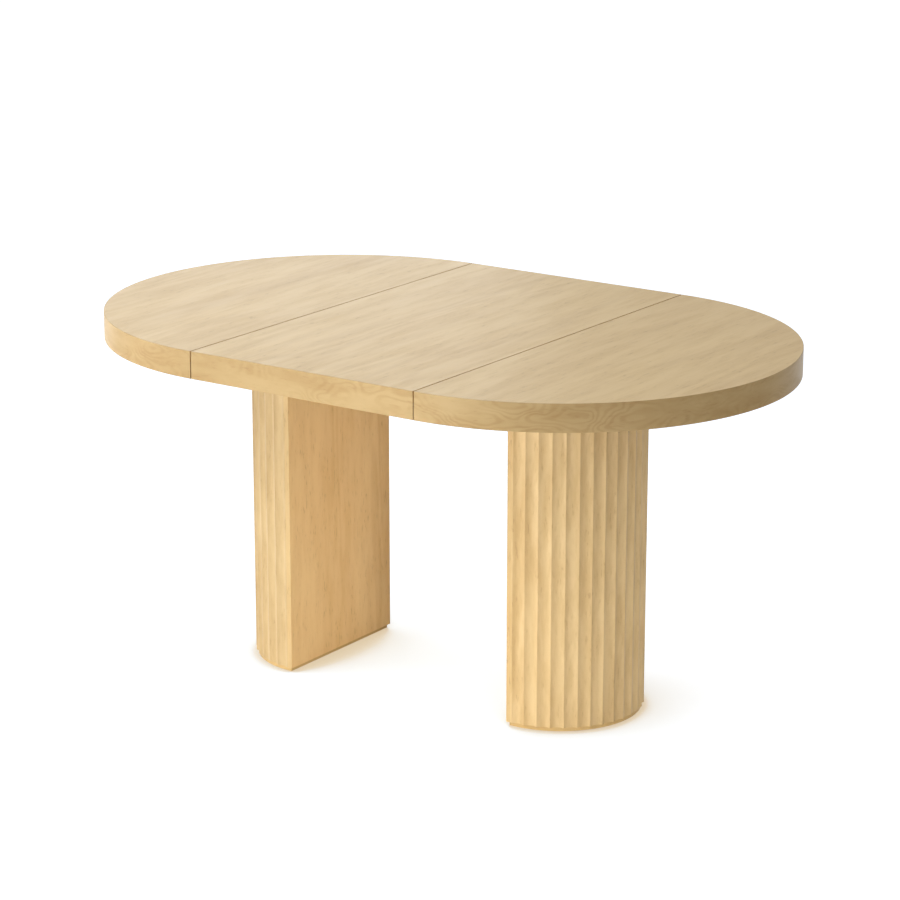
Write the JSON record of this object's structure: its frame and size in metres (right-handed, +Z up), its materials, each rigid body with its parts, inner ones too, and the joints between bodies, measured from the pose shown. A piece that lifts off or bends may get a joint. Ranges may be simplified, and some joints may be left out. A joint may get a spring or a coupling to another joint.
{
  "type": "extending dining table",
  "caption": "Extending oak dining table: half-round top halves and a drop-in leaf on fluted half-column pedestals, with geared telescopic slides and swivel hooks under the top.",
  "frame": {"origin": "on the floor under the middle of the leaf", "axes": "+X along the way the table extends, +Y to the back, +Z up"},
  "size_m": [1.4898, 0.96, 0.75],
  "materials": {
    "oak_top": "clear matt lacquered oak veneer",
    "oak_edge": "clear matt lacquered oak edge veneer",
    "oak_fluted": "clear matt lacquered fluted oak veneer",
    "oak_face": "clear matt lacquered oak veneer",
    "oak_plinth": "clear matt lacquered oak veneer",
    "carcass": "raw fibreboard, veneered where it shows",
    "beech": "planed, unfinished",
    "aluminium": "mill finish extrusion",
    "nylon": "moulded, matt",
    "steel": "bright zinc plated",
    "felt": "pressed felt"
  },
  "bodies": {
    "slide_core": {"runner_front": "aluminium", "runner_back": "aluminium", "runner_shoes": "nylon", "crossbar": "steel", "crossbar_screws": "steel", "rack_guides": "nylon", "pinion_axle": "steel", "pinion_washer": "steel"},
    "sync_pinion": {"pinion": "steel"},
    "leaf": {"leaf_panel": "oak_top", "leaf_apron_front": "carcass", "leaf_apron_back": "carcass", "leaf_band_front": "oak_edge", "leaf_band_back": "oak_edge", "leaf_battens": "beech", "leaf_cleats": "beech", "leaf_studs": "steel"},
    "left_half": {"left_top_panel": "oak_top", "left_apron": "carcass", "left_edge_band": "oak_edge", "left_seam_battens": "beech", "left_bearers": "beech", "left_wood_screws": "steel", "left_guide_channels": "aluminium", "left_guide_bushes": "nylon", "left_rack": "steel", "left_rack_block": "beech", "left_column_shell": "oak_fluted", "left_column_face": "oak_face", "left_column_head": "carcass", "left_column_formers": "carcass", "left_column_base": "carcass", "left_column_bolts": "steel", "left_plinth": "oak_plinth", "left_glides": "felt", "left_hook_pivots": "steel"},
    "right_half": {"right_top_panel": "oak_top", "right_apron": "carcass", "right_edge_band": "oak_edge", "right_seam_battens": "beech", "right_bearers": "beech", "right_wood_screws": "steel", "right_guide_channels": "aluminium", "right_guide_bushes": "nylon", "right_rack": "steel", "right_rack_block": "beech", "right_column_shell": "oak_fluted", "right_column_face": "oak_face", "right_column_head": "carcass", "right_column_formers": "carcass", "right_column_base": "carcass", "right_column_bolts": "steel", "right_plinth": "oak_plinth", "right_glides": "felt", "right_hook_pivots": "steel"},
    "right_hook_front": {"right_hook_front": "steel"},
    "right_hook_back": {"right_hook_back": "steel"},
    "left_hook_front": {"left_hook_front": "steel"},
    "left_hook_back": {"left_hook_back": "steel"}
  },
  "joints": [
    {"name": "left_slide", "type": "slide", "parent": "slide_core", "child": "left_half", "axis": [1, 0, 0], "range_m": [0, 0.26425]},
    {"name": "right_slide", "type": "slide", "parent": "slide_core", "child": "right_half", "axis": [-1, 0, 0], "range_m": [0, 0.26425]},
    {"name": "leaf_lift", "type": "slide", "parent": "slide_core", "child": "leaf", "axis": [0, 0, 1], "range_m": [0, 0.6611]},
    {"name": "pinion_turn", "type": "hinge", "parent": "slide_core", "child": "sync_pinion", "pos_m": [0, 0, 0.709], "axis": [0, 0, 1], "range_deg": [-758, 0]},
    {"name": "right_hook_front_swivel", "type": "hinge", "parent": "right_half", "child": "right_hook_front", "pos_m": [0.28, -0.36, 0.7038], "axis": [0, 0, 1], "range_deg": [0, 90]},
    {"name": "right_hook_back_swivel", "type": "hinge", "parent": "right_half", "child": "right_hook_back", "pos_m": [0.28, 0.32, 0.7038], "axis": [0, 0, 1], "range_deg": [0, 90]},
    {"name": "left_hook_front_swivel", "type": "hinge", "parent": "left_half", "child": "left_hook_front", "pos_m": [-0.28, -0.32, 0.7038], "axis": [0, 0, 1], "range_deg": [0, 90]},
    {"name": "left_hook_back_swivel", "type": "hinge", "parent": "left_half", "child": "left_hook_back", "pos_m": [-0.28, 0.36, 0.7038], "axis": [0, 0, 1], "range_deg": [0, 90]}
  ],
  "couplings": [
    {"joint": "right_slide", "follows": "left_slide", "ratio": 1},
    {"joint": "leaf_lift", "follows": "left_slide", "ratio": 2.5},
    {"joint": "pinion_turn", "follows": "left_slide", "rad_per_m": -50}
  ]
}
